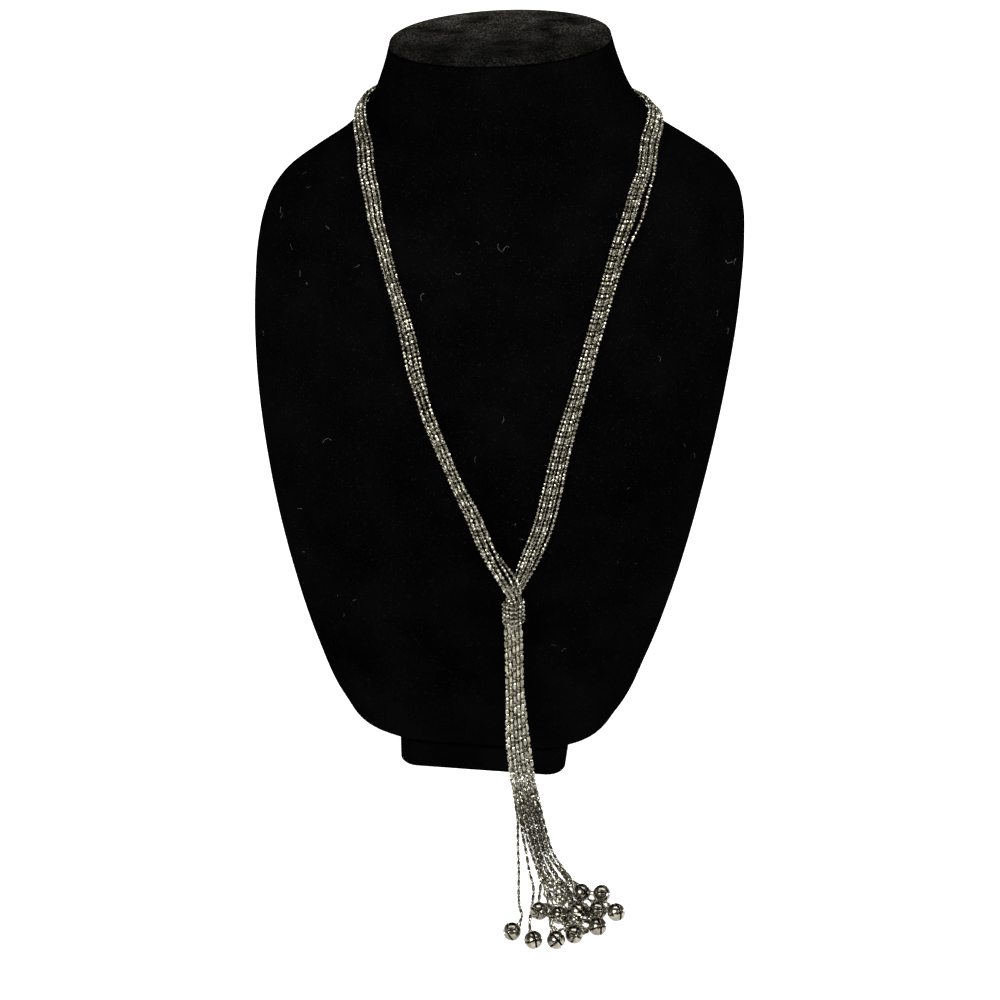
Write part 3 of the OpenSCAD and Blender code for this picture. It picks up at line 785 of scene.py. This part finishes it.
def foot():
    """Block with round corners, its velvet turned over the edges."""
    around = []
    for corner, (cx, cy) in enumerate([(1, 1), (-1, 1), (-1, -1), (1, -1)]):
        for t in np.linspace(0, 90, 13):
            a = math.radians(90 * corner + t)
            around.append([cx * (FOOT_W / 2 - FOOT_CORNER), cy * (FOOT_D / 2 - FOOT_CORNER),
                           math.cos(a), math.sin(a)])
    around = np.array(around)
    rings = []
    for inset, z in [(4, 0), (1.0, 0.0), (0.35, 0.15), (0.05, 0.6), (0, 1.2), (0, FOOT_H / 2),
                     (0, FOOT_H - 1.2), (0.1, FOOT_H - 0.5), (0.5, FOOT_H - 0.1), (1.2, FOOT_H),
                     (4, FOOT_H)]:
        reach = FOOT_CORNER - inset
        rings.append(np.column_stack([
            around[:, 0] + reach * around[:, 2], around[:, 1] + reach * around[:, 3],
            np.full(len(around), float(z))]))
    made = piece("foot_velvet", *closed_form(rings), "foot", paint=VELVET)


bust()
neck_plate()
foot()


# Longer stray fibres: angle, height share, length, turn and curl
STRAYS = [(-87.8, 0.763, 4.6, 1.3, 1.5), (-86.2, 0.761, 3.6, 3.1, 1.9), (-21.0, 0.725, 5.0, 0.6, 1.4),
          (-103.5, 0.700, 4.0, 2.2, 1.6), (-129.5, 0.493, 5.5, 3.1, 1.7), (-96.0, 0.730, 2.6, 0.2, 1.0)]


def fibre(angle, share, size, turn, curl, radius):
    """One curled fibre that lies on the velvet."""
    count = 9
    place = skin(angle, share)
    out = skin_out(angle, share)
    side = unit(np.cross(out, [0.0, 0.0, 1.0]))
    up = np.cross(side, out)
    t = np.linspace(-1, 1, count)
    x, y = size * t / 2, size * curl * (t * t - 0.5) / 4
    c, n = math.cos(turn), math.sin(turn)
    points = place + np.outer(x * c - y * n, side) + np.outer(x * n + y * c, up) + out * 0.12
    return wire(Line(points, np.tile(out, (count, 1))), 0, size * 0.98, radius, 4, 0.4)


def lint():
    """Stray fibres on the velvet."""
    parts = [fibre(*stray, 0.06) for stray in STRAYS]
    for _ in range(46):
        angle, share = chance.uniform(-165, -15), chance.uniform(0.12, 0.88)
        size = chance.uniform(0.8, 3.2)
        turn, curl = any_turn(), chance.uniform(-1.2, 1.2)
        parts.append(fibre(angle, share, size, turn, curl, chance.uniform(0.02, 0.05)))
    piece("lint_on_velvet", *gather(parts), paint=LINT)


lint()


# Chains and knot

# Height under which a tail's links are the closer ones
TABLE_LINK_Z = 12
# Distance from ball to ball in the knot's turns, and how much larger those balls are
TURN_BALL_STEP, TURN_BALL_SCALE = 1.97, 1.08

for k in range(CHAINS):
    line = Line(*strand_line(k))
    made = piece(f"chain_round_neck_{k + 1}", *chain(line, first_bar(k)), f"strand_{k + 1}",
                 paint=SILVER, smooth=False)
for i, tail in enumerate(TAILS):
    line = Line(*tail_line(tail))
    down = line.at[line.points[:, 2] < TABLE_LINK_Z][0]
    parts = [chain(line, first_bar(i)), wire(line, down, line.length, TABLE_LINK_R)]
    made = piece(f"chain_of_tail_{i + 1}", *gather(parts), f"tail_{i + 1}", paint=SILVER, smooth=False)


def knot_turns():
    """Line of the turns round the knot, a little uneven."""
    turns = []
    for n in range(60 * KNOT_TURNS + 1):
        t = n / 60
        a = 2 * math.pi * t + 2.2
        reach = TURN_R + 0.12 * math.sin(3 * a + t)
        turns.append([reach * math.cos(a), reach * math.sin(a), TURN_RISE * (t - KNOT_TURNS / 2) * 0.9])
    turns = np.array(turns)
    return Line(KNOT_AT + turns, unit(turns * [1, 1, 0]))


def knot_core():
    """Upright chains that fill the knot, in rings from the outside in."""
    parts = []
    for reach, count in [(3.1, 11), (1.5, 5), (0.0, 1)]:
        for n in range(count):
            a = 2 * math.pi * n / count
            low = KNOT_AT + np.array([reach * math.cos(a), reach * math.sin(a), -KNOT_H / 2 + 0.3])
            top = low + [0, 0, KNOT_H - 0.1]
            upright = Line(np.linspace(low, top, 12), np.tile([math.cos(a), math.sin(a), 0.0], (12, 1)))
            parts.append(chain(upright, chance.uniform(1.5, 3.2)))
    return parts


def knot_feeds():
    """Chains of the band that run on into the top of the knot."""
    parts = []
    for k in range(CHAINS):
        line = Line(*strand_line(k))
        for s, way in [(0.0, 1), (line.length, -1)]:
            top, near = line.point(np.array([s, s + way]))
            low = KNOT_AT + (top - KNOT_AT) * [0.55, 0.55, 0] + [0, 0, KNOT_H / 2 - 4]
            t = np.linspace(0, 1, 10)[:, None]
            path = top + (top - near) * 4 * t * (1 - t) ** 2 + (low - top) * t * t * (3 - 2 * t)
            feed = Line(path, np.tile(unit(top - KNOT_AT), (10, 1)))
            parts.append(chain(feed, 0.9 + 0.4 * k))
    return parts


def knot():
    """Bundle of chains with turns of beaded chain round it."""
    line = knot_turns()
    parts = [wire(line, 0, line.length, 0.15, 6, 1.0)]
    s = 1.0
    while s < line.length - 1:
        parts.append(set_along(BALL, line, s, BALL_D / 2, any_turn(), TURN_BALL_SCALE))
        s += TURN_BALL_STEP
    parts += knot_core() + knot_feeds()
    made = piece("knot_of_chain", *gather(parts), "knot", paint=SILVER, smooth=False)


knot()


# Caps and bells

# Points round a ring of wire, and round its wire
RING_SIDES, RING_WIRE_SIDES = 28, 10


def thicken(points, faces, wall):
    """Gives a part of a round shell its inner face and its rims."""
    count = len(points)
    inner = points * (1 - wall / np.linalg.norm(points, axis=1, keepdims=True))
    edges = {}
    for face in faces:
        for a, b in zip(face, face[1:] + face[:1]):
            edges[(a, b)] = True
    rims = [[a, b, b + count, a + count][::-1] for a, b in edges if (b, a) not in edges]
    inside = [[v + count for v in face[::-1]] for face in faces]
    return np.concatenate([points, inner]), faces + inside + rims


def merged(points, faces):
    """Joins points that lie in one place and drops what falls flat."""
    keys, first, place = {}, [], []
    for n, p in enumerate(np.round(points, 4)):
        key = tuple(p + 0.0)
        if key not in keys:
            keys[key] = len(first)
            first.append(n)
        place.append(keys[key])
    kept = []
    for face in faces:
        face = list(dict.fromkeys(place[v] for v in face))
        if len(face) > 2:
            kept.append(face)
    return points[first], kept


def bell_shell():
    """Round bell with two crossed slots that end in holes. Its eye is at the end of the first axis."""
    slot_end, hole_r = 0.1 * BELL_R, SLOT_HOLE_D / 2
    flare, flare_from, flare_over = 0.05, 2.3, 0.75
    tip = math.pi - math.asin(SLOT_W / 2 / (BELL_R * math.sin(math.pi / 4)))
    above = math.acos((slot_end + hole_r) / BELL_R)
    below = math.acos((slot_end - hole_r) / BELL_R)
    rows = np.concatenate([np.linspace(0.001, above, 14, endpoint=False),
                           above + (below - above) * (1 - np.cos(np.linspace(0, math.pi, 13))) / 2,
                           np.linspace(below, tip, 16)[1:]])
    points, faces, columns = [], [], 15
    for quarter in range(4):
        start = len(points)
        for theta in rows:
            x = BELL_R * math.cos(theta)
            chord = math.sqrt(max(0.0, hole_r ** 2 - (x - slot_end) ** 2))
            half = max(chord, SLOT_W / 2 if x < slot_end else 0)
            gap = math.asin(min(math.sin(math.pi / 4), half / (BELL_R * math.sin(theta))))
            r = BELL_R * (1 + flare * max(0.0, (theta - flare_from) / flare_over) ** 2)
            for t in np.linspace(-1, 1, columns):
                phi = math.pi / 2 * quarter + t * (math.pi / 4 - gap)
                points.append([r * math.cos(theta), -r * math.sin(theta) * math.sin(phi),
                               r * math.sin(theta) * math.cos(phi)])
        for k in range(len(rows) - 1):
            for j in range(columns - 1):
                a = start + k * columns + j
                faces.append([a, a + 1, a + 1 + columns, a + columns])
    return thicken(*merged(np.array(points), faces), BELL_WALL)


def wire_ring(r, flat):
    """Ring of wire about the third axis, or about the second one where it isn't flat."""
    around, across = RING_SIDES, RING_WIRE_SIDES
    points = []
    for a in np.linspace(0, 2 * math.pi, around, endpoint=False):
        for b in np.linspace(0, 2 * math.pi, across, endpoint=False):
            reach = r + RING_WIRE / 2 * math.cos(b)
            points.append([reach * math.cos(a), reach * math.sin(a), RING_WIRE / 2 * math.sin(b)])
    points = np.array(points)
    if not flat:
        points = points[:, [0, 2, 1]] * [1, -1, 1]
    faces = []
    for k in range(around):
        row, following = across * k, across * ((k + 1) % around)
        for j in range(across):
            n = (j + 1) % across
            faces.append([row + j, following + j, following + n, row + n])
    return points, faces


def turned(degrees, axis):
    """Matrix that turns about an axis."""
    a = math.radians(degrees)
    c, s = math.cos(a), math.sin(a)
    i, j = [(1, 2), (2, 0), (0, 1)][axis]
    m = np.eye(3)
    m[i, i], m[i, j], m[j, i], m[j, j] = c, -s, s, c
    return m


SHELL = bell_shell()
EYE = wire_ring(EYE_R, False)
FLAT_RING = wire_ring(RING_R, True)
CUP = lathe([[0, 0], [0.85, 0], [1.08, 0.07], [1.15, 0.2], [1.13, 0.42], [1.01, 0.56], [1.0, 1.66],
             [0.93, 1.86], [0.62, 2.17], [0, 2.2]], 24)

for i, tail in enumerate(TAILS):
    way = turned(tail.heading - 90, 2)
    place = over_table(cup_at(tail), tail.rise + CUP_Z)
    parts = [(CUP[0][:, [2, 1, 0]] * [1, -1, 1] @ way.T + place, CUP[1]),
             ((FLAT_RING[0] + [CUP_L + RING_R, 0, 0]) @ way.T + place, FLAT_RING[1])]
    made = piece(f"cap_of_tail_{i + 1}", *gather(parts), f"end_cap_{i + 1}", paint=NICKEL)
    way = turned(tail.heading + tail.turn + 90, 2) @ turned(math.degrees(EYE_DIP), 1)
    place = over_table(tail.bell, tail.rise + BELL_Z)
    parts = [(SHELL[0] @ (way @ turned(31 * i + 8, 0)).T + place, SHELL[1]),
             ((EYE[0] + [EYE_REACH, 0, 0]) @ way.T + place, EYE[1])]
    made = piece(f"jingle_bell_{i + 1}", *gather(parts), f"bell_{i + 1}", paint=NICKEL)
    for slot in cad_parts[f"clapper_{i + 1}"].material_slots:
        slot.material = STEEL


# Distance that the slack keeps from a bell's middle, and how high it may lie
SLACK_CLEAR, SLACK_TOP = BELL_R + 0.85, 6.5


def slack():
    """Slack of the tails, curled on the table between the bells."""
    bells = np.array([over_table(tail.bell, tail.rise + BELL_Z) for tail in TAILS])
    t = np.linspace(0, 1, 90)
    parts = []
    for n, (x, y, reach) in enumerate(CURLS):
        wide, deep, roll = chance.uniform(3.5, 6), chance.uniform(2.5, 4.5), any_turn()
        a = roll + 6.6 * t
        path = np.stack([x + reach * (wide * np.sin(a) + 1.2 * np.sin(2.6 * a)),
                         y + reach * deep * np.cos(a) + 1.5 * t,
                         FLOOR_OUT + (n % 3) * 1.3 + 0.9 * (1 + np.sin(2 * a))], 1)
        path[:, :2] = np.stack([KNOT_AT[0] + path[:, 0], LAND_Y - path[:, 1]], 1)
        for _ in range(8):
            for bell in bells:
                far = np.linalg.norm(path - bell, axis=1, keepdims=True)
                path = np.where(far < SLACK_CLEAR, bell + (path - bell) * SLACK_CLEAR / far, path)
            path[:, 2] = np.clip(path[:, 2], FLOOR_OUT, SLACK_TOP)
        curl = Line(path, np.tile([0.0, 0.0, 1.0], (len(t), 1)))
        parts += [chain(curl, first_bar(0)), wire(curl, 0, curl.length, TABLE_LINK_R)]
    made = piece("slack_of_tails", *gather(parts), paint=SILVER, smooth=False)


slack()


# Floor, light and camera

def floor():
    """Pale table that runs out of view."""
    mesh = bpy.data.meshes.new("table_top")
    r = 6.0
    mesh.from_pydata([(-r, -r, 0), (r, -r, 0), (r, r, 0), (-r, r, 0)], [], [(0, 1, 2, 3)])
    mesh.materials.append(floor_white())
    top = bpy.data.objects.new("table_top", mesh)
    bpy.context.scene.collection.objects.link(top)


def softbox(name, place, target, size, power_w):
    """Square-edged soft light, aimed at a point."""
    light = bpy.data.lights.new(name, "AREA")
    light.shape, light.size, light.size_y = "RECTANGLE", size[0], size[1]
    light.energy = power_w
    made = bpy.data.objects.new(name, light)
    made.location = place
    made.rotation_euler = (Vector(target) - Vector(place)).to_track_quat("-Z", "Y").to_euler()
    bpy.context.scene.collection.objects.link(made)


def room():
    sky = bpy.data.worlds.new("studio")
    bpy.context.scene.world = sky
    sky.use_nodes = True
    background = sky.node_tree.nodes["Background"].inputs
    background["Color"].default_value = (0.80, 0.79, 0.76, 1)
    background["Strength"].default_value = 0.22
    softbox("key", (-0.8, -1.3, 1.2), (0, 0, 0.12), (0.75, 0.75), 34)
    softbox("top", (0, 0.45, 2.2), (0, 0.1, 0), (2.6, 0.8), 40)
    softbox("fill", (1.2, -1.0, 1.3), (0, 0, 0.15), (0.6, 0.6), 32)


def camera():
    """Camera of the photograph: 0.8 m away, a little to the wearer's left and looking down."""
    lens = bpy.data.cameras.new("camera")
    lens.sensor_width, lens.lens = 36, 71.06
    lens.shift_x = 0.0095
    lens.clip_start, lens.clip_end = 0.05, 50
    made = bpy.data.objects.new("camera", lens)
    away, height, turn, tilt = 0.8, 0.537, math.radians(7), math.radians(27.35)
    made.location = (away * math.sin(turn), -away * math.cos(turn), height)
    made.rotation_euler = (math.pi / 2 - tilt, 0, turn)
    bpy.context.scene.collection.objects.link(made)
    bpy.context.scene.camera = made


floor()
room()
camera()
bpy.context.scene.view_settings.view_transform = "Standard"
